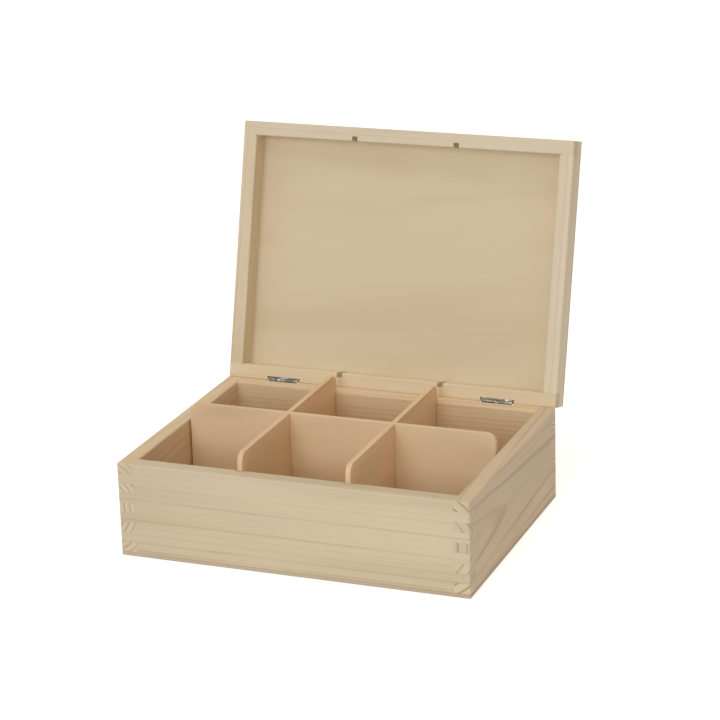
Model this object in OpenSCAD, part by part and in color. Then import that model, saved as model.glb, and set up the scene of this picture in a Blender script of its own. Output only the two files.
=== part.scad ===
// Wooden tea bag box with a hinged lid and six compartments.
// The origin is the centre of the underside. +X is to the right, the front faces -Y and +Z is up.
// The lid stands open, leaning back on the stops of its two hinges.

/* [Box] */
// Width over the side boards
box_w = 220; // [160:1:320]
// Depth over the front and back boards
box_d = 165; // [120:1:240]
// Height of the four boards, without the bottom panel
board_h = 56; // [40:1:90]
// Thickness of the four boards
wall_t = 10; // [8:0.5:14]
// Thickness of the plywood bottom panel
bottom_t = 3; // [2:0.5:6]
// Fingers at each corner of the box, an odd number
box_fingers = 9; // [5:2:13]

/* [Lid] */
// Height of the four lid rails, without the top panel
rail_h = 14; // [13:0.5:24]
// Thickness of the lid rails
rail_t = 9; // [7:0.5:12]
// Thickness of the plywood top panel
top_t = 3; // [2:0.5:6]
// Angle of the open lid, measured from closed
open_angle = 105; // [90:1:120]
// Seam between the box and the closed lid
seam_gap = 0.3; // [0.2:0.05:0.8]

/* [Dividers] */
// Thickness of the plywood dividers
divider_t = 3; // [2:0.5:5]
// Height of the dividers above the rim of the box
divider_rise = 11; // [0:0.5:12.5]
// Radius of the dividers' upper corners
divider_corner_r = 6; // [2:0.5:12]
// Depth of the grooves for the dividers in the boards and rails
groove_depth = 3.1; // [2:0.1:4.5]
// Gap left at each end of the long divider
long_end_gap = 1.2; // [0.3:0.1:2]

/* [Hinges] */
// Distance from each end of the box to the middle of its hinge
hinge_inset = 38; // [26:1:60]
// Length of one knuckle
knuckle_len = 4.8; // [3:0.2:7]
// Outer diameter of the knuckles
knuckle_d = 2.4; // [2.2:0.1:2.8]
// Diameter of the hinge pin
pin_d = 1.2; // [0.8:0.1:1.4]
// Thickness of the hinge leaves
leaf_t = 0.5; // [0.4:0.05:0.7]
// Depth of a leg below the rim it is pressed into
leg_depth = 9; // [6:0.5:10]

/* [Finish and clearances] */
// Radius of the eased outer edges
ease_r = 1; // [0.5:0.1:1.4]
// Radius of the eased inner edges of the rims
inner_ease_r = 1; // [0.3:0.1:1.4]
// Glue line in the finger joints
glue_gap = 0.05; // [0.02:0.01:0.2]
// Clearance on each side of a divider in its groove or slot
groove_slack = 0.15; // [0.1:0.05:0.4]
// Clearance on each side of a divider in the notches of the lid
notch_slack = 0.3; // [0.2:0.05:0.6]
// Gap left at each end of a short divider in its groove
groove_end_gap = 1; // [0.3:0.1:1.8]
// Clearance on each side of a leg in its kerf
kerf_slack = 0.1; // [0.05:0.05:0.2]
// Gap between neighbouring knuckles
knuckle_gap = 0.2; // [0.1:0.05:0.4]
// Gap between the hinge pin and its bore
pin_gap = 0.05; // [0.02:0.01:0.1]
// Clearance around the knuckles in the hinge pocket
pocket_slack = 0.3; // [0.25:0.05:0.5]

/* [Hidden] */

PINE = "#e3c596";
PINE_SHADE = "#d3ab77";
PLY = "#d9ba8a";
STEEL = "#b7b6b2";

$fn = 48;

// How far a cut reaches past the face it leaves
past = 1;

// The front and back rails have the lower finger at each corner of the lid, the side rails the upper one
LID_FINGERS = 2;

rim_z = bottom_t + board_h;
axis_z = rim_z + seam_gap / 2;
// The pins sit just inside the back face, so that the eased edges of the open seam nearly touch
axis_y = box_d / 2 - 0.45 * ease_r;
lid_z = rim_z + seam_gap;
lid_top_z = lid_z + rail_h + top_t;

// Dividers, which stand on the bottom panel
divider_top_z = rim_z + divider_rise;
divider_h = divider_top_z - bottom_t;
long_divider_len = box_w - 2 * (wall_t + long_end_gap);
short_divider_len = box_d - 2 * (wall_t - groove_depth + groove_end_gap);
// Three equal columns put each short divider this far from the middle
short_divider_x = (box_w - 2 * wall_t + divider_t) / 6;
groove_w = divider_t + 2 * groove_slack;
notch_w = divider_t + 2 * notch_slack;

// Hinges: each leaf has every second knuckle
KNUCKLES = 4;
knuckle_pitch = knuckle_len + knuckle_gap;
hinge_len = KNUCKLES * knuckle_pitch - knuckle_gap;
knuckle_r = knuckle_d / 2;
pocket_len = hinge_len + 2 * knuckle_pitch / 4;
pocket_r = knuckle_r + pocket_slack;
leaf_reach = pocket_r + leaf_t;
kerf_w = leaf_t + 2 * kerf_slack;

// A square from a corner to a corner, its corners rounded by quarter circles
module rounded_rect(size, r) {
    translate([r, 0]) square([size.x - 2 * r, size.y]);
    translate([0, r]) square([size.x, size.y - 2 * r]);
    for (x = [r, size.x - r]) {
        for (y = [r, size.y - r]) {
            translate([x, y]) circle(r);
        }
    }
}

// A block from z0 to z1 over the whole plan of the box, with every outer edge eased
module eased_block(z0, z1) {
    h = z1 - z0;
    translate([-box_w / 2, -box_d / 2, z0]) intersection() {
        linear_extrude(h) rounded_rect([box_w, box_d], ease_r);
        translate([0, box_d, 0]) rotate([90, 0, 0]) linear_extrude(box_d) rounded_rect([box_w, h], ease_r);
        rotate([90, 0, 90]) linear_extrude(box_w) rounded_rect([box_d, h], ease_r);
    }
}

// A plain board along X at the front, from z0 to z1
module board_x(t, z0, z1) {
    translate([-box_w / 2, -box_d / 2, z0]) cube([box_w, t, z1 - z0]);
}

// A plain board along Y at the left, from z0 to z1
module board_y(t, z0, z1) {
    translate([-box_w / 2, -box_d / 2, z0]) cube([t, box_d, z1 - z0]);
}

// Draws its children twice, mirrored left to right
module left_and_right() {
    children();
    mirror([1, 0, 0]) children();
}

// Draws its children twice, mirrored front to back
module front_and_back() {
    children();
    mirror([0, 1, 0]) children();
}

// The neighbour's fingers, cut from one end of a board that starts at height z0.
// The outer corner is at the origin, and cuts reach over the given size in X and Y.
module finger_cuts(count, z0, h, size, skip_first) {
    finger_h = h / count;
    for (i = [skip_first ? 1 : 0 : 2 : count - 1]) {
        low = i == 0 ? past : glue_gap / 2;
        high = i == count - 1 ? past : glue_gap / 2;
        translate([-past, -past, z0 + i * finger_h - low])
            cube([size.x + past, size.y + past, finger_h + low + high]);
    }
}

// The finger cuts at both ends of a front or back board, drawn at the front
module end_cuts_x(count, z0, h, t, skip_first) {
    left_and_right() translate([-box_w / 2, -box_d / 2, 0])
        finger_cuts(count, z0, h, [t + glue_gap / 2, t + past], skip_first);
}

// The finger cuts at both ends of a side board, drawn at the left
module end_cuts_y(count, z0, h, t, skip_first) {
    front_and_back() translate([-box_w / 2, -box_d / 2, 0])
        finger_cuts(count, z0, h, [t + past, t + glue_gap / 2], skip_first);
}

// Grooves for the ends of the short dividers, in a board at the front of thickness t
module divider_grooves(t, w, z0, z1) {
    left_and_right()
        translate([-short_divider_x - w / 2, -box_d / 2 + t - groove_depth, z0])
            cube([w, groove_depth + past, z1 - z0]);
}

// What sanding takes off the inner edge of a rim, as seen along the edge.
// The edge is at the origin, with the wood towards -X and -Y.
module edge_waste(r) {
    difference() {
        translate([-r, -r]) square(r + past);
        translate([-r, -r]) circle(r);
    }
}

// The eased inner edge of a front board or rail of thickness t, drawn at the front.
// face is 1 where the rim is at the top of the board at height z, and -1 at its bottom.
module eased_rim_x(t, z, face) {
    translate([-box_w / 2 + t - inner_ease_r, -box_d / 2 + t, z])
        mirror([0, 0, face > 0 ? 0 : 1]) rotate([90, 0, 90])
            linear_extrude(box_w - 2 * t + 2 * inner_ease_r) edge_waste(inner_ease_r);
}

// The same for a side board or rail, drawn at the left
module eased_rim_y(t, z, face) {
    translate([-box_w / 2 + t, box_d / 2 - t + inner_ease_r, z])
        mirror([0, 0, face > 0 ? 0 : 1]) rotate([90, 0, 0])
            linear_extrude(box_d - 2 * t + 2 * inner_ease_r) edge_waste(inner_ease_r);
}

// Front or back board of the box, drawn at the front
module front_form() {
    difference() {
        intersection() {
            eased_block(0, rim_z);
            board_x(wall_t, bottom_t, rim_z);
        }
        eased_rim_x(wall_t, rim_z, 1);
        end_cuts_x(box_fingers, bottom_t, board_h, wall_t, false);
        divider_grooves(wall_t, groove_w, bottom_t - past, rim_z + past);
    }
}

// Left or right board of the box, drawn at the left
module side_form() {
    difference() {
        intersection() {
            eased_block(0, rim_z);
            board_y(wall_t, bottom_t, rim_z);
        }
        eased_rim_y(wall_t, rim_z, 1);
        end_cuts_y(box_fingers, bottom_t, board_h, wall_t, true);
    }
}

// Front or back rail of the closed lid, drawn at the front.
// It has the lower of the two fingers at each end, and notches that clear the short dividers.
module lid_front_form() {
    difference() {
        intersection() {
            eased_block(lid_z, lid_top_z);
            board_x(rail_t, lid_z, lid_z + rail_h);
        }
        eased_rim_x(rail_t, lid_z, -1);
        end_cuts_x(LID_FINGERS, lid_z, rail_h, rail_t, true);
        divider_grooves(rail_t, notch_w, lid_z - past, lid_z + rail_h + past);
    }
}

// Left or right rail of the closed lid, drawn at the left, with the upper finger at each end
module lid_side_form() {
    difference() {
        intersection() {
            eased_block(lid_z, lid_top_z);
            board_y(rail_t, lid_z, lid_z + rail_h);
        }
        eased_rim_y(rail_t, lid_z, -1);
        end_cuts_y(LID_FINGERS, lid_z, rail_h, rail_t, false);
    }
}

// Turns the lid about the hinge pins from closed to open
module opened() {
    translate([0, axis_y, axis_z]) rotate([-open_angle, 0, 0]) translate([0, -axis_y, -axis_z])
        children();
}

// Puts its children on the hinge axis at the middle of one hinge, -1 for the left and 1 for the right
module at_hinge(side) {
    translate([side * (box_w / 2 - hinge_inset), axis_y, axis_z]) children();
}

// The pocket for a hinge and the kerf for a leg, in the upper edge of the back board.
// It is drawn on the hinge axis, and a mirror in Z gives the cut in the lid.
module hinge_cut() {
    depth = leg_depth + seam_gap / 2 + 2 * kerf_slack;
    translate([-pocket_len / 2, -leaf_reach - kerf_slack, -pocket_r])
        cube([pocket_len, leaf_reach + kerf_slack + past, pocket_r + past]);
    translate([-pocket_len / 2, -leaf_reach - kerf_slack, -depth])
        cube([pocket_len, kerf_w, depth]);
}

// One knuckle of a hinge, by its number from the left
module knuckle_at(i) {
    translate([-hinge_len / 2 + i * knuckle_pitch, 0, 0]) children();
}

// The lower leaf of a hinge on its axis: a leg, and a cranked strip to each of its knuckles, which are
// every second one from number first. The upper leaf is the same, mirrored in Z.
module leaf_form(first) {
    leg_end_z = -leg_depth - seam_gap / 2;
    leg_h = -knuckle_r - leg_end_z;
    difference() {
        union() {
            translate([-hinge_len / 2, -leaf_reach, leg_end_z]) cube([hinge_len, leaf_t, leg_h]);
            for (i = [first : 2 : KNUCKLES - 1]) {
                knuckle_at(i) {
                    translate([0, -leaf_reach, leg_end_z]) cube([knuckle_len, leaf_t, leg_h + leaf_t]);
                    translate([0, -leaf_reach, -knuckle_r]) cube([knuckle_len, leaf_reach, leaf_t]);
                    rotate([0, 90, 0]) cylinder(h = knuckle_len, r = knuckle_r);
                }
            }
        }
        translate([-hinge_len / 2 - past, 0, 0]) rotate([0, 90, 0])
            cylinder(h = hinge_len + 2 * past, r = pin_d / 2 + pin_gap);
    }
}

// Front board, with the short dividers' front ends in its grooves
module front_board() {
    color(PINE) front_form();
}

// Back board, the same with the two hinge pockets and kerfs
module back_board() {
    color(PINE) difference() {
        mirror([0, 1, 0]) front_form();
        for (side = [-1, 1]) {
            at_hinge(side) hinge_cut();
        }
    }
}

module left_board() {
    color(PINE_SHADE) side_form();
}

module right_board() {
    color(PINE_SHADE) mirror([1, 0, 0]) side_form();
}

// Plywood sheet glued under the four boards
module bottom_panel() {
    color(PLY) intersection() {
        eased_block(0, rim_z);
        translate([-box_w / 2, -box_d / 2, 0]) cube([box_w, box_d, bottom_t]);
    }
}

// Side view of a divider, its lower left corner at the origin and its upper corners rounded
module divider_outline(len, h, r) {
    square([len, h - r]);
    translate([r, 0]) square([len - 2 * r, h]);
    for (x = [r, len - r]) {
        translate([x, h - r]) circle(r);
    }
}

// Long divider, slotted from below where the short ones cross it
module long_divider() {
    slot_h = divider_h / 2 + groove_slack;
    color(PLY) difference() {
        translate([-long_divider_len / 2, divider_t / 2, bottom_t]) rotate([90, 0, 0])
            linear_extrude(divider_t) divider_outline(long_divider_len, divider_h, divider_corner_r);
        left_and_right()
            translate([-short_divider_x - groove_w / 2, -divider_t / 2 - past, bottom_t - past])
                cube([groove_w, divider_t + 2 * past, slot_h + past]);
    }
}

// Short divider, slotted from above, its ends in the grooves of the front and back boards
module short_divider(side) {
    slot_h = divider_h / 2 + groove_slack;
    color(PLY) difference() {
        translate([side * short_divider_x - divider_t / 2, -short_divider_len / 2, bottom_t])
            rotate([90, 0, 90]) linear_extrude(divider_t)
                divider_outline(short_divider_len, divider_h, divider_corner_r);
        translate([side * short_divider_x - divider_t / 2 - past, -groove_w / 2, divider_top_z - slot_h])
            cube([divider_t + 2 * past, groove_w, slot_h + past]);
    }
}

module lid_front_rail() {
    color(PINE) opened() lid_front_form();
}

// Back rail of the lid, with the pockets and kerfs of the lid leaves
module lid_back_rail() {
    color(PINE) opened() difference() {
        mirror([0, 1, 0]) lid_front_form();
        for (side = [-1, 1]) {
            at_hinge(side) mirror([0, 0, 1]) hinge_cut();
        }
    }
}

module lid_left_rail() {
    color(PINE) opened() lid_side_form();
}

module lid_right_rail() {
    color(PINE) opened() mirror([1, 0, 0]) lid_side_form();
}

// Plywood sheet glued over the four rails of the lid
module lid_panel() {
    color(PLY) opened() intersection() {
        eased_block(lid_z, lid_top_z);
        translate([-box_w / 2, -box_d / 2, lid_z + rail_h]) cube([box_w, box_d, top_t]);
    }
}

// Leaf pressed into the back board, with the first and third knuckles
module hinge_body_leaf(side) {
    color(STEEL) at_hinge(side) leaf_form(0);
}

// Leaf pressed into the lid, with the second and fourth knuckles
module hinge_lid_leaf(side) {
    color(STEEL) opened() at_hinge(side) mirror([0, 0, 1]) leaf_form(1);
}

module hinge_pin(side) {
    color(STEEL) at_hinge(side) translate([-hinge_len / 2, 0, 0]) rotate([0, 90, 0])
        cylinder(h = hinge_len, r = pin_d / 2);
}

front_board();
back_board();
left_board();
right_board();
bottom_panel();
long_divider();
short_divider(-1);  // short_divider_left
short_divider(1);  // short_divider_right
lid_front_rail();
lid_back_rail();
lid_left_rail();
lid_right_rail();
lid_panel();
hinge_body_leaf(-1);  // hinge_left_body_leaf
hinge_lid_leaf(-1);  // hinge_left_lid_leaf
hinge_pin(-1);  // hinge_left_pin
hinge_body_leaf(1);  // hinge_right_body_leaf
hinge_lid_leaf(1);  // hinge_right_lid_leaf
hinge_pin(1);  // hinge_right_pin
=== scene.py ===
import math

import bpy
from mathutils import Matrix, Vector


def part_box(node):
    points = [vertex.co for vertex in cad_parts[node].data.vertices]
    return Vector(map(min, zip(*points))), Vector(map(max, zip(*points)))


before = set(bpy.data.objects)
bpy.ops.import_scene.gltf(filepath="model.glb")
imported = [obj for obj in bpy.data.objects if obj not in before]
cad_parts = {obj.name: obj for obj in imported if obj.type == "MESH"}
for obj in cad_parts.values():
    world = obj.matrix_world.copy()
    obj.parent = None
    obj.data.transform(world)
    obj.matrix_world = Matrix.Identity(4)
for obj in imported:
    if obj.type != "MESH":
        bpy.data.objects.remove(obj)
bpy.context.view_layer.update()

# ---- Front and back boards of the box ----
# Two planed boards of white pine, cut flat from the log, sanded and left bare.
# Their ends are machined into fingers that are glued between those of the side boards,
# and each has two grooves inside for the ends of the short dividers.

MM = 0.001


def feed(tree, socket, value):
    """Links a socket to another node's output, or writes a plain value in it."""
    if isinstance(value, bpy.types.NodeSocket):
        tree.links.new(value, socket)
    else:
        socket.default_value = value


def sums(tree, operation, *values):
    """One step of arithmetic in a node tree."""
    step = tree.nodes.new("ShaderNodeMath")
    step.operation = operation
    for socket, value in zip(step.inputs, values):
        feed(tree, socket, value)
    return step.outputs[0]


def arrows(tree, operation, first, second=None):
    """One step of arithmetic on vectors, which gives a vector, or a length or dot product."""
    step = tree.nodes.new("ShaderNodeVectorMath")
    step.operation = operation
    feed(tree, step.inputs[0], first)
    if second is not None:
        feed(tree, step.inputs["Scale"] if operation == "SCALE" else step.inputs[1], second)
    return step.outputs["Value" if operation in ("LENGTH", "DOT_PRODUCT") else "Vector"]


def along(tree, vector, letter):
    """How far a vector reaches along X, Y or Z."""
    parts = tree.nodes.new("ShaderNodeSeparateXYZ")
    feed(tree, parts.inputs[0], vector)
    return parts.outputs[letter]


def ramp(tree, value, low, high, to_low=0.0, to_high=1.0):
    """A smooth step from one value to another, while the input goes from low to high."""
    step = tree.nodes.new("ShaderNodeMapRange")
    step.interpolation_type = "SMOOTHSTEP"
    for socket, setting in zip(step.inputs, (value, low, high, to_low, to_high)):
        feed(tree, socket, setting)
    return step.outputs["Result"]


def cloud(tree, place, to_metre, detail=2.0, roughness=0.5, swirl=0.0, answer="Fac"):
    """Soft noise, with so many blotches to the metre along each direction of the board."""
    noise = tree.nodes.new("ShaderNodeTexNoise")
    feed(tree, noise.inputs["Vector"], arrows(tree, "MULTIPLY", place, to_metre))
    noise.inputs["Scale"].default_value = 1.0
    noise.inputs["Detail"].default_value = detail
    noise.inputs["Roughness"].default_value = roughness
    noise.inputs["Distortion"].default_value = swirl
    return noise.outputs[answer]


# Sockets of a colour mix, by number, because its sockets for numbers and vectors have the same names
MIX_SHARE, MIX_UNDER, MIX_OVER = 0, 6, 7
MIX_RESULT = 2


def blend_colours(tree, share, under, over, kind="MIX"):
    """A share of one colour laid over another."""
    step = tree.nodes.new("ShaderNodeMix")
    step.data_type = "RGBA"
    step.blend_type = kind
    step.clamp_factor = True
    feed(tree, step.inputs[MIX_SHARE], share)
    feed(tree, step.inputs[MIX_UNDER], under)
    feed(tree, step.inputs[MIX_OVER], over)
    return step.outputs[MIX_RESULT]


def grain_tree(name, inputs, outputs):
    """An empty node group, its inputs and outputs given by name and kind."""
    tree = bpy.data.node_groups.new(name, "ShaderNodeTree")
    for label, kind in inputs.items():
        tree.interface.new_socket(label, in_out="INPUT", socket_type="NodeSocket" + kind)
    for label, kind in outputs.items():
        tree.interface.new_socket(label, in_out="OUTPUT", socket_type="NodeSocket" + kind)
    given = tree.nodes.new("NodeGroupInput").outputs
    result = tree.nodes.new("NodeGroupOutput").inputs
    return tree, given, result


# What each grain puts out
SURFACE = {"Colour": "Color", "Roughness": "Float", "Height": "Float"}


def growth_rings():
    """Pine as it grew: rings round a pith that leans a little from the board's own length.
    Position is in the board's frame, X along the fibres, Y through its thickness, Z over its width."""
    tree, given, result = grain_tree(
        "growth rings of pine",
        {"Position": "Vector", "Facing": "Vector", "Pith": "Vector", "Lean": "Vector", "Bow": "Vector",
         "Ring Width": "Float", "Wander": "Float", "Seed": "Float", "Early Wood": "Color",
         "Late Wood": "Color", "End Wood": "Color", "End Rings": "Color", "Figure": "Float",
         "End Figure": "Float"},
        SURFACE)
    place = given["Position"]
    seed_step = (1.7, 2.9, 4.3)
    seeded = arrows(tree, "ADD", place, arrows(tree, "SCALE", seed_step, given["Seed"]))

    # Rings: distance from the pith, drawn out of true by slow waves along the board
    waves = cloud(tree, seeded, to_metre=(7.0, 22.0, 22.0), detail=1.5, answer="Color")
    mean_wave = (0.5, 0.5, 0.5)
    waves = arrows(tree, "SUBTRACT", waves, mean_wave)
    moved = arrows(tree, "ADD", place, arrows(tree, "SCALE", waves, given["Wander"]))
    length = along(tree, place, "X")
    pith = arrows(tree, "ADD", given["Pith"], arrows(tree, "SCALE", given["Lean"], length))
    squared = sums(tree, "MULTIPLY", length, length)
    pith = arrows(tree, "ADD", pith, arrows(tree, "SCALE", given["Bow"], squared))
    across_fibres = (0.0, 1.0, 1.0)
    outward = arrows(tree, "MULTIPLY", arrows(tree, "SUBTRACT", moved, pith), across_fibres)
    years = sums(tree, "DIVIDE", arrows(tree, "LENGTH", outward), given["Ring Width"])
    year = sums(tree, "FLOOR", years)
    season = sums(tree, "FRACT", years)

    # Late wood darkens slowly from summer on and stops sharply in winter, more so in some years
    summer, autumn, winter, spring = 0.62, 0.9, 0.92, 1.0
    late = sums(tree, "MULTIPLY", ramp(tree, season, summer, autumn),
                ramp(tree, season, winter, spring, to_low=1.0, to_high=0.0))
    chance = tree.nodes.new("ShaderNodeTexWhiteNoise")
    chance.noise_dimensions = "1D"
    feed(tree, chance.inputs["W"], sums(tree, "ADD", year, given["Seed"]))

    # Faces show long fibres, ends show the rings at full strength with open pores
    face_turn, end_turn = 0.55, 0.8
    end = ramp(tree, sums(tree, "ABSOLUTE", along(tree, given["Facing"], "X")), face_turn, end_turn)

    def face_or_end(on_faces, on_ends):
        """One value on the faces of the board and another on its ends."""
        return ramp(tree, end, low=0.0, high=1.0, to_low=on_faces, to_high=on_ends)

    faintest_year = face_or_end(on_faces=0.08, on_ends=0.5)
    this_year = ramp(tree, chance.outputs["Value"], low=0.0, high=1.0, to_low=faintest_year)
    late = sums(tree, "MULTIPLY", late, this_year)
    fibres = cloud(tree, seeded, to_metre=(26.0, 900.0, 900.0), detail=3.0, roughness=0.6)
    pores = cloud(tree, seeded, to_metre=(40.0, 2400.0, 2400.0), roughness=0.7)
    tone = cloud(tree, seeded, to_metre=(5.0, 30.0, 30.0))
    warmth = cloud(tree, seeded, to_metre=(8.0, 40.0, 70.0), detail=1.0)

    # The lines come and go along the board
    fading = cloud(tree, seeded, to_metre=(9.0, 60.0, 60.0), detail=1.0)
    faded_line = face_or_end(on_faces=0.45, on_ends=0.9)
    late = sums(tree, "MULTIPLY", late, ramp(tree, fading, low=0.3, high=0.6, to_low=faded_line))
    ring_share = sums(tree, "MULTIPLY", late, face_or_end(given["Figure"], given["End Figure"]))

    # Colour: early wood, the rings over it, then warm patches, streaks on faces and pores on ends
    warm_share, streak_share, pore_share = 0.14, 0.16, 0.22
    ground = blend_colours(tree, end, given["Early Wood"], given["End Wood"])
    ring_colour = blend_colours(tree, end, given["Late Wood"], given["End Rings"])
    colour = blend_colours(tree, ring_share, ground, ring_colour)
    warm = ramp(tree, warmth, low=0.45, high=0.75, to_high=warm_share)
    colour = blend_colours(tree, warm, colour, given["Late Wood"])
    on_face = sums(tree, "SUBTRACT", 1.0, end)
    streaks = sums(tree, "MULTIPLY", ramp(tree, fibres, low=0.55, high=0.78), on_face)
    colour = blend_colours(tree, sums(tree, "MULTIPLY", streaks, streak_share), colour, given["Late Wood"])
    specks = sums(tree, "MULTIPLY", ramp(tree, pores, low=0.56, high=0.72), end)
    colour = blend_colours(tree, sums(tree, "MULTIPLY", specks, pore_share), colour, given["Late Wood"])
    darkest, lightest = 0.93, 1.05
    shade = ramp(tree, tone, low=0.25, high=0.75, to_low=darkest, to_high=lightest)
    grey = tree.nodes.new("ShaderNodeCombineColor")
    for socket in grey.inputs:
        feed(tree, socket, shade)
    feed(tree, result["Colour"], blend_colours(tree, 1.0, colour, grey.outputs[0], "MULTIPLY"))

    # Fibres stand a little proud and late wood with them, and pores are pits
    smoothest, roughest, rougher_ends = 0.58, 0.72, 0.12
    rough = ramp(tree, fibres, low=0.3, high=0.8, to_low=smoothest, to_high=roughest)
    feed(tree, result["Roughness"], sums(tree, "MULTIPLY_ADD", end, rougher_ends, rough))
    fibre_rise, late_rise, pore_rise = 0.8, 0.5, -0.6
    relief = sums(tree, "MULTIPLY_ADD", late, late_rise, sums(tree, "MULTIPLY", fibres, fibre_rise))
    feed(tree, result["Height"], sums(tree, "MULTIPLY_ADD", specks, pore_rise, relief))
    return tree


BEVEL_SAMPLES = 6


def sanded_edges():
    """The broken edge that sandpaper leaves, as a rounded normal and a mask of where it is."""
    tree, given, result = grain_tree("sanded edges", {"Radius": "Float"},
                                     {"Normal": "Vector", "Edge": "Float"})
    bevel = tree.nodes.new("ShaderNodeBevel")
    bevel.samples = BEVEL_SAMPLES
    feed(tree, bevel.inputs["Radius"], given["Radius"])
    surface = tree.nodes.new("ShaderNodeNewGeometry")
    even = arrows(tree, "DOT_PRODUCT", bevel.outputs[0], surface.outputs["True Normal"])
    feed(tree, result["Normal"], bevel.outputs[0])
    worn_through, untouched = 0.8, 0.995
    feed(tree, result["Edge"], ramp(tree, even, worn_through, untouched, to_low=1.0, to_high=0.0))
    return tree


PINE_GRAIN = growth_rings()
EDGES = sanded_edges()


def new_finish(name):
    """A new material, with its node tree and shader."""
    material = bpy.data.materials.new(name)
    material.use_nodes = True
    return material, material.node_tree, material.node_tree.nodes["Principled BSDF"]


def use_group(tree, group, settings):
    """Places a shared node group in a material, with this material's own values."""
    placed = tree.nodes.new("ShaderNodeGroup")
    placed.node_tree = group
    for label, setting in settings.items():
        feed(tree, placed.inputs[label], setting)
    return placed


def add_relief(tree, shader, height, strength, depth):
    """Puts a height on a shader's normal and returns the node that does it."""
    bump = tree.nodes.new("ShaderNodeBump")
    bump.inputs["Strength"].default_value = strength
    bump.inputs["Distance"].default_value = depth
    feed(tree, bump.inputs["Height"], height)
    feed(tree, shader.inputs["Normal"], bump.outputs[0])
    return bump


def dress(node, material):
    """Gives a solid its material."""
    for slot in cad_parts[node].material_slots:
        slot.material = material


# Rotations from the box's frame to a board's, by the direction that its fibres run
ALONG_X = Matrix(((1, 0, 0), (0, 1, 0), (0, 0, 1)))
ALONG_Y = Matrix(((0, 1, 0), (-1, 0, 0), (0, 0, 1)))


def board_place(tree, node, turn):
    """Position and facing in the board's own frame, from the middle of its box."""
    low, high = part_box(node)
    centre = (low + high) / 2
    coords = tree.nodes.new("ShaderNodeTexCoord")
    answers = []
    for source, kind, shift in ((coords.outputs["Object"], "POINT", -(turn @ centre)),
                                (coords.outputs["Normal"], "VECTOR", None)):
        mapping = tree.nodes.new("ShaderNodeMapping")
        mapping.vector_type = kind
        feed(tree, mapping.inputs["Vector"], source)
        mapping.inputs["Rotation"].default_value = turn.to_euler("XYZ")
        if shift is not None:
            mapping.inputs["Location"].default_value = shift
        answers.append(mapping.outputs[0])
    return answers


WOOD_SHINE = 0.35
GRAIN_STRENGTH = 0.35


def finish_wood(tree, shader, grain, relief, edge_radius, edge_colour, wear):
    """Puts a grain group's colour, roughness and relief on the shader, with sanded edges."""
    shader.inputs["Specular IOR Level"].default_value = WOOD_SHINE
    edges = use_group(tree, EDGES, {"Radius": edge_radius})
    worn = sums(tree, "MULTIPLY", edges.outputs["Edge"], wear)
    feed(tree, shader.inputs["Base Color"],
         blend_colours(tree, worn, grain.outputs["Colour"], edge_colour))
    feed(tree, shader.inputs["Roughness"], grain.outputs["Roughness"])
    bump = add_relief(tree, shader, grain.outputs["Height"], GRAIN_STRENGTH, relief)
    feed(tree, bump.inputs["Normal"], edges.outputs["Normal"])


def tinted(colour, tone):
    """A colour multiplied by a tone, channel by channel."""
    return [channel * share for channel, share in zip(colour, tone)] + [1]


EARLY_WOOD = (0.80, 0.635, 0.425, 1)
LATE_WOOD = (0.50, 0.32, 0.155, 1)
END_WOOD = (0.74, 0.625, 0.445, 1)
END_RINGS = (0.44, 0.315, 0.185, 1)
END_FIGURE = 0.95
PALE_EDGE = (0.84, 0.69, 0.48, 1)


def pine(node, turn, pith, ring, wander, seed, figure, tone, lean=(0, 0), bow=0.0):
    """Gives a board its own piece of pine. pith is where the tree's heart lies from the board's middle,
    through its thickness and up, lean how much that changes over its length, bow how much more it is off
    at each end, ring how wide a year is and wander how far it strays, all in millimetres.
    tone multiplies its colours; on several boards it also paints the light or shade that falls on them."""
    material, tree, shader = new_finish("pine " + node.replace("_", " "))
    place, facing = board_place(tree, node, turn)
    low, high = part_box(node)
    length = abs((turn @ (high - low)).x)
    grain = use_group(tree, PINE_GRAIN, {
        "Position": place,
        "Facing": facing,
        "Pith": (0, pith[0] * MM, pith[1] * MM),
        "Lean": (0, lean[0] * MM / length, lean[1] * MM / length),
        "Bow": (0, bow * MM / (length / 2) ** 2, 0),
        "Ring Width": ring * MM,
        "Wander": wander * MM,
        "Seed": seed,
        "Early Wood": tinted(EARLY_WOOD, tone),
        "Late Wood": tinted(LATE_WOOD, tone),
        "End Wood": END_WOOD,
        "End Rings": END_RINGS,
        "Figure": figure,
        "End Figure": END_FIGURE})
    finish_wood(tree, shader, grain, relief=0.06 * MM, edge_radius=0.15 * MM,
                edge_colour=PALE_EDGE, wear=0.1)
    dress(node, material)


pine("front_board", ALONG_X, pith=(35, -63.4), ring=3.65, wander=0.7, seed=2.1, figure=0.34,
     tone=(0.9, 0.955, 1.01))
# The back board is toned warmer, which paints the warm light thrown about inside the box on its inner face.
pine("back_board", ALONG_X, pith=(-30, -70), lean=(-2, 3), ring=3.0, wander=1.4, seed=2.0, figure=0.5,
     tone=(1.035, 1.0, 0.96))

# ---- Side boards of the box ----
# Two boards of the same pine, with five fingers at each end, glued between those of the other boards.
# The ends of these fingers show at the front and back, and the growth rings cross them as dark strokes.

# The side boards' tones paint how light falls on them: the right board is darker for the shade on its outer
# face, the left a little less orange on its rim.
pine("left_board", ALONG_Y, pith=(17, 0), lean=(-5, 4), ring=3.7, wander=1.4, seed=3.0, figure=0.5,
     tone=(0.99, 0.96, 0.93))
pine("right_board", ALONG_Y, pith=(23, 0), lean=(7.4, 0), bow=-1.2, ring=5.5, wander=1.2, seed=10.1,
     figure=0.5, tone=(0.945, 0.95, 0.985))

# ---- Plywood bottom ----
# One sheet of three-ply 3 mm thick, peeled from the log, so that its faces have broad soft figure.
# It is glued under the four boards, and its edge shows as a darker line below them: its tone is darker and
# cooler, which paints the shade on that edge, and the line by the boards is partly the joint's own and
# partly painted shade.


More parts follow.
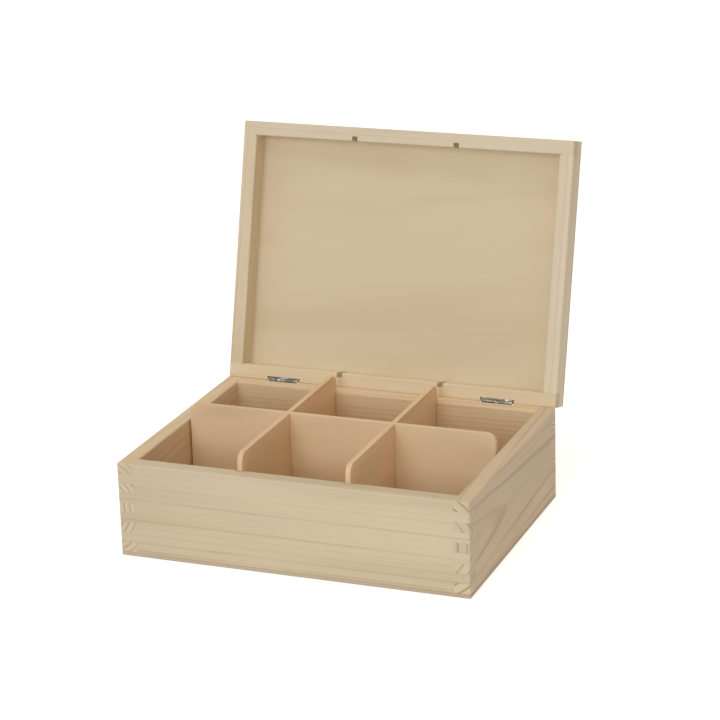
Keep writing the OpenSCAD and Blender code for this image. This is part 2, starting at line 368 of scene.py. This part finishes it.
def peeled_veneer():
    """Plywood: soft broad figure and short pores on the faces, and the darker cross ply on the edges.
    Position is in the sheet's frame, X along the outer fibres and Y through the thickness."""
    tree, given, result = grain_tree(
        "peeled veneer",
        {"Position": "Vector", "Facing": "Vector", "Thickness": "Float", "Seed": "Float",
         "Veneer": "Color", "Cross Ply": "Color", "Figure": "Float", "Glue Line And Shade": "Float"},
        SURFACE)
    place = given["Position"]
    seed_step = (3.1, 1.3, 5.7)
    seeded = arrows(tree, "ADD", place, arrows(tree, "SCALE", seed_step, given["Seed"]))
    flames = cloud(tree, seeded, to_metre=(6.0, 3.0, 26.0), roughness=0.45, swirl=1.2)
    flame = ramp(tree, flames, low=0.35, high=0.7)
    pores = cloud(tree, seeded, to_metre=(60.0, 1500.0, 1500.0), roughness=0.6)

    # Edges show the plies: the core runs across, and the face that is glued has a dark line by it, partly
    # the joint's own and partly painted shade
    edge_turn, face_turn = 0.4, 0.6
    edge = ramp(tree, sums(tree, "ABSOLUTE", along(tree, given["Facing"], "Y")), face_turn, edge_turn)
    through = sums(tree, "DIVIDE", along(tree, place, "Y"), given["Thickness"])
    core_full, core_ends = 0.13, 0.2
    core = ramp(tree, sums(tree, "ABSOLUTE", through), core_full, core_ends, to_low=1.0, to_high=0.0)
    core = sums(tree, "MULTIPLY", core, edge)
    glue_and_shade_starts, glue_and_shade_full = 0.1, 0.4
    glue_and_shade = sums(tree, "MULTIPLY", ramp(tree, through, glue_and_shade_starts, glue_and_shade_full), edge)

    # Colour: the cross ply's darker colour over the pale veneer, by each of these masks
    pore_share, core_share = 0.12, 0.12
    colour = given["Veneer"]
    for mask, share in ((flame, given["Figure"]), (ramp(tree, pores, low=0.6, high=0.75), pore_share),
                        (core, core_share), (glue_and_shade, given["Glue Line And Shade"])):
        colour = blend_colours(tree, sums(tree, "MULTIPLY", mask, share), colour, given["Cross Ply"])
    feed(tree, result["Colour"], colour)

    smoothest, roughest, rougher_edges = 0.55, 0.68, 0.12
    rough = ramp(tree, pores, low=0.3, high=0.8, to_low=smoothest, to_high=roughest)
    feed(tree, result["Roughness"], sums(tree, "MULTIPLY_ADD", edge, rougher_edges, rough))
    pore_rise, core_rise = 0.6, -0.5
    relief = sums(tree, "MULTIPLY", pores, pore_rise)
    feed(tree, result["Height"], sums(tree, "MULTIPLY_ADD", core, core_rise, relief))
    return tree


VENEER_GRAIN = peeled_veneer()
VENEER = (0.81, 0.62, 0.405, 1)
CROSS_PLY = (0.52, 0.33, 0.16, 1)
PLY_EDGE = (0.85, 0.69, 0.48, 1)
PLY_THICKNESS = 3 * MM

FLAT_SHEET = Matrix(((1, 0, 0), (0, 0, 1), (0, -1, 0)))


def plywood(node, turn, seed, tone, figure=0.25, glue_and_shade=0.0):
    """Gives a sheet its own piece of plywood, with a line on its edge by the face it is glued with, as dark
    as the
    last argument says: partly the joint's own line, partly painted shade. tone multiplies the veneer's
    colour, and on some sheets paints the light or shade that they get.
    """
    material, tree, shader = new_finish("plywood " + node.replace("_", " "))
    place, facing = board_place(tree, node, turn)
    grain = use_group(tree, VENEER_GRAIN, {
        "Position": place,
        "Facing": facing,
        "Thickness": PLY_THICKNESS,
        "Seed": seed,
        "Veneer": tinted(VENEER, tone),
        "Cross Ply": CROSS_PLY,
        "Figure": figure,
        "Glue Line And Shade": glue_and_shade})
    finish_wood(tree, shader, grain, relief=0.04 * MM, edge_radius=0.4 * MM,
                edge_colour=PLY_EDGE, wear=0.3)
    dress(node, material)


# The bottom sheet is toned darker and cooler, which paints the shade on its edge under the boards.
plywood("bottom_panel", FLAT_SHEET, seed=1.0, tone=(0.79, 0.88, 1.04), glue_and_shade=0.5)

# ---- Dividers ----
# Three strips of the same plywood, a long one from side to side and two short ones across it.
# They cross in half laps, and the short ones stand in the grooves of the boards, without glue.

# The strips are toned lighter than the other sheets of the same plywood, which paints the light inside the
# compartments.
plywood("long_divider", ALONG_X, seed=3.0, tone=(1.09, 1.09, 1.07))
plywood("short_divider_left", ALONG_Y, seed=4.0, tone=(1.13, 1.06, 1.01))
plywood("short_divider_right", ALONG_Y, seed=5.0, tone=(1.15, 1.08, 1.02))

# ---- Lid ----
# Four narrower strips of pine, finger-jointed at the corners, with a plywood top glued over them.
# The front and back rails have notches that clear the short dividers.
# The lid leans open, so its grain is laid in the closed lid's frame.

OPEN_ANGLE = math.radians(105)
CLOSED = Matrix.Rotation(OPEN_ANGLE, 3, "X")

pine("lid_front_rail", ALONG_X @ CLOSED, pith=(-30, 12), lean=(3, 3), ring=2.4, wander=1.0, seed=5.0,
     figure=0.2, tone=(0.91, 0.98, 1.08))
pine("lid_back_rail", ALONG_X @ CLOSED, pith=(30, 12), lean=(3, -3), ring=2.4, wander=1.0, seed=6.0,
     figure=0.2, tone=(1.02, 1.06, 1.08))
pine("lid_left_rail", ALONG_Y @ CLOSED, pith=(-24, 16), lean=(5, 3), ring=2.8, wander=1.0, seed=7.0,
     figure=0.25, tone=(0.98, 1.03, 1.08))
# The right rail is toned paler and cooler, which paints the cool light on its rim.
pine("lid_right_rail", ALONG_Y @ CLOSED, pith=(22, 16), lean=(-3, 3), ring=2.8, wander=1.0, seed=8.0,
     figure=0.25, tone=(1.0, 1.08, 1.19))
plywood("lid_panel", FLAT_SHEET @ CLOSED, seed=2.0, figure=0.16, tone=(0.92, 1.01, 1.08))

# ---- Box hinges ----
# Two small hinges of nickel-plated steel, rolled from 0.5 mm strip, with legs pressed into saw kerfs.
# Only the knuckles and the cranked strips show, in the pockets along the back edge.


def brushed_metal():
    """Fine lengthwise brush marks and dark dull patches, as a roughness, a relief and a colour. The patches
    are partly tarnish and partly painted shade.
    """
    tree, given, result = grain_tree(
        "brushed metal", {"Position": "Vector", "Metal": "Color", "Tarnish And Shade": "Color"}, SURFACE)
    brush = cloud(tree, given["Position"], to_metre=(400.0, 9000.0, 9000.0))
    dull = cloud(tree, given["Position"], to_metre=(150.0, 150.0, 150.0), detail=3.0)
    dullest = 0.95
    tarnish_and_shade_share = ramp(tree, dull, low=0.37, high=0.55, to_high=dullest)
    feed(tree, result["Colour"], blend_colours(tree, tarnish_and_shade_share, given["Metal"], given["Tarnish And Shade"]))
    bright_roughness, dull_roughness, brush_roughness = 0.2, 0.4, 0.2
    rough = ramp(tree, dull, low=0.3, high=0.7, to_low=bright_roughness, to_high=dull_roughness)
    feed(tree, result["Roughness"], sums(tree, "MULTIPLY_ADD", brush, brush_roughness, rough))
    feed(tree, result["Height"], brush)
    return tree


BRUSHED = brushed_metal()
BRUSH_STRENGTH = 0.2
BRUSH_DEPTH = 0.01 * MM


def hinge_metal(name, metal, tarnish_and_shade):
    """A bare metal for the hinges, brushed along the pin."""
    material, tree, shader = new_finish(name)
    shader.inputs["Metallic"].default_value = 1.0
    coords = tree.nodes.new("ShaderNodeTexCoord")
    brushed = use_group(tree, BRUSHED,
                        {"Position": coords.outputs["Object"], "Metal": metal, "Tarnish And Shade": tarnish_and_shade})
    feed(tree, shader.inputs["Base Color"], brushed.outputs["Colour"])
    feed(tree, shader.inputs["Roughness"], brushed.outputs["Roughness"])
    add_relief(tree, shader, brushed.outputs["Height"], BRUSH_STRENGTH, BRUSH_DEPTH)
    return material


# The tarnish colours are near black and cover most of each hinge: partly real tarnish, partly painted shade
# of the pockets the hinges sit in.
LEAF_METAL = hinge_metal("nickel-plated steel of the leaves", metal=(0.62, 0.6, 0.56, 1),
                         tarnish_and_shade=(0.15, 0.13, 0.105, 1))
PIN_METAL = hinge_metal("bare steel of the pins", metal=(0.5, 0.48, 0.45, 1), tarnish_and_shade=(0.2, 0.18, 0.15, 1))
for side in ("left", "right"):
    dress(f"hinge_{side}_body_leaf", LEAF_METAL)
    dress(f"hinge_{side}_lid_leaf", LEAF_METAL)
    dress(f"hinge_{side}_pin", PIN_METAL)

# ---- Table and room ----
# A plain white table in a plain pale room. The room looks white to the eye
# and gives a warmer and weaker light to the box.

WHITE = (1, 1, 1, 1)
TABLE_SIZE = 12.0
TABLE_COLOUR = (0.86, 0.86, 0.86, 1)
TABLE_ROUGHNESS = 0.9
TABLE_GLOW = 0.57


def seen_by_eye(tree):
    """One where the eye sees a thing, straight or by a mirror or glass, and nought where it only lights."""
    rays = tree.nodes.new("ShaderNodeLightPath")
    seen = sums(tree, "MAXIMUM", rays.outputs["Is Camera Ray"], rays.outputs["Is Glossy Ray"])
    return sums(tree, "MAXIMUM", seen, rays.outputs["Is Transmission Ray"])


def white_in_view(tree, shade, glow):
    """Adds plain white to a surface where the eye sees it."""
    light = tree.nodes.new("ShaderNodeEmission")
    feed(tree, light.inputs["Strength"], sums(tree, "MULTIPLY", seen_by_eye(tree), glow))
    both = tree.nodes.new("ShaderNodeAddShader")
    feed(tree, both.inputs[0], shade)
    feed(tree, both.inputs[1], light.outputs[0])
    return both.outputs[0]


reach = TABLE_SIZE / 2
table_mesh = bpy.data.meshes.new("table")
table_corners = [(-reach, -reach, 0), (reach, -reach, 0), (reach, reach, 0), (-reach, reach, 0)]
table_mesh.from_pydata(table_corners, [], [(0, 1, 2, 3)])
table = bpy.data.objects.new("table", table_mesh)
bpy.context.scene.collection.objects.link(table)
paint, paint_tree, paint_shader = new_finish("white table")
paint_shader.inputs["Base Color"].default_value = TABLE_COLOUR
paint_shader.inputs["Roughness"].default_value = TABLE_ROUGHNESS
paint_shader.inputs["Specular IOR Level"].default_value = 0.0
feed(paint_tree, paint_tree.nodes["Material Output"].inputs["Surface"],
     white_in_view(paint_tree, paint_shader.outputs[0], TABLE_GLOW))
table_mesh.materials.append(paint)

ROOM_LIGHT = 0.5
ROOM_COLOUR = (1, 0.93, 0.83, 1)
WHITE_STRENGTH = 1.0
room = bpy.data.worlds.new("room")
room.use_nodes = True
room_tree = room.node_tree
background = room_tree.nodes["Background"]
seen = seen_by_eye(room_tree)
feed(room_tree, background.inputs["Color"], blend_colours(room_tree, seen, ROOM_COLOUR, WHITE))
feed(room_tree, background.inputs["Strength"],
     ramp(room_tree, seen, low=0.0, high=1.0, to_low=ROOM_LIGHT, to_high=WHITE_STRENGTH))
bpy.context.scene.world = room

# ---- Lamps ----
# One large soft lamp in front and a little to the left, and weaker ones from above and behind.
# Each is a square soft box on a stand, turned to the middle of the box.

BOX_MIDDLE = Vector((0, 0, 0.08))


def soft_lamp(name, place, size, power, colour):
    """A square soft lamp that faces the box."""
    light = bpy.data.lights.new(name, "AREA")
    light.size = size
    light.energy = power
    light.color = colour
    lamp = bpy.data.objects.new(name, light)
    lamp.location = place
    lamp.rotation_mode = "QUATERNION"
    lamp.rotation_quaternion = (BOX_MIDDLE - Vector(place)).to_track_quat("-Z", "Y")
    bpy.context.scene.collection.objects.link(lamp)


soft_lamp("front soft box", place=(-0.25, -4.2, 1.7), size=1.7, power=54.5, colour=(0.95, 1.0, 1.06))
soft_lamp("top soft box", place=(-0.2, -0.5, 3.2), size=2.0, power=16, colour=(1, 1, 1))
soft_lamp("back soft box", place=(0, 3.6, 0.9), size=1.2, power=16, colour=(1, 0.98, 0.96))

# ---- Camera ----
# It stands to the right of the box and looks down on it, with a long lens and a slight tilt.
# Its distance is in millimetres from the centre of the view, a point by the middle of the box.

VIEW_TURN = math.radians(21.653)
VIEW_HEIGHT = math.radians(18.574)
VIEW_ROLL = math.radians(-1.751)
VIEW_DISTANCE = 1547.9
VIEW_CENTRE = Vector((14.92, -2.5, 108.81))
FOCAL_PIXELS = 2602.7
IMAGE_PIXELS = 720
SENSOR = 36.0

back = Vector((math.sin(VIEW_TURN) * math.cos(VIEW_HEIGHT), -math.cos(VIEW_TURN) * math.cos(VIEW_HEIGHT),
               math.sin(VIEW_HEIGHT)))
level = Vector((math.cos(VIEW_TURN), math.sin(VIEW_TURN), 0))
upward = back.cross(level)
right = math.cos(VIEW_ROLL) * level + math.sin(VIEW_ROLL) * upward
upward = back.cross(right)
turned = Matrix((right, upward, back)).transposed()
camera = bpy.data.objects.new("camera", bpy.data.cameras.new("camera"))
camera.data.sensor_width = SENSOR
camera.data.lens = FOCAL_PIXELS / IMAGE_PIXELS * SENSOR
camera.matrix_world = Matrix.Translation((VIEW_CENTRE + back * VIEW_DISTANCE) * MM) @ turned.to_4x4()
bpy.context.scene.collection.objects.link(camera)
bpy.context.scene.camera = camera
bpy.context.scene.view_settings.view_transform = "Standard"
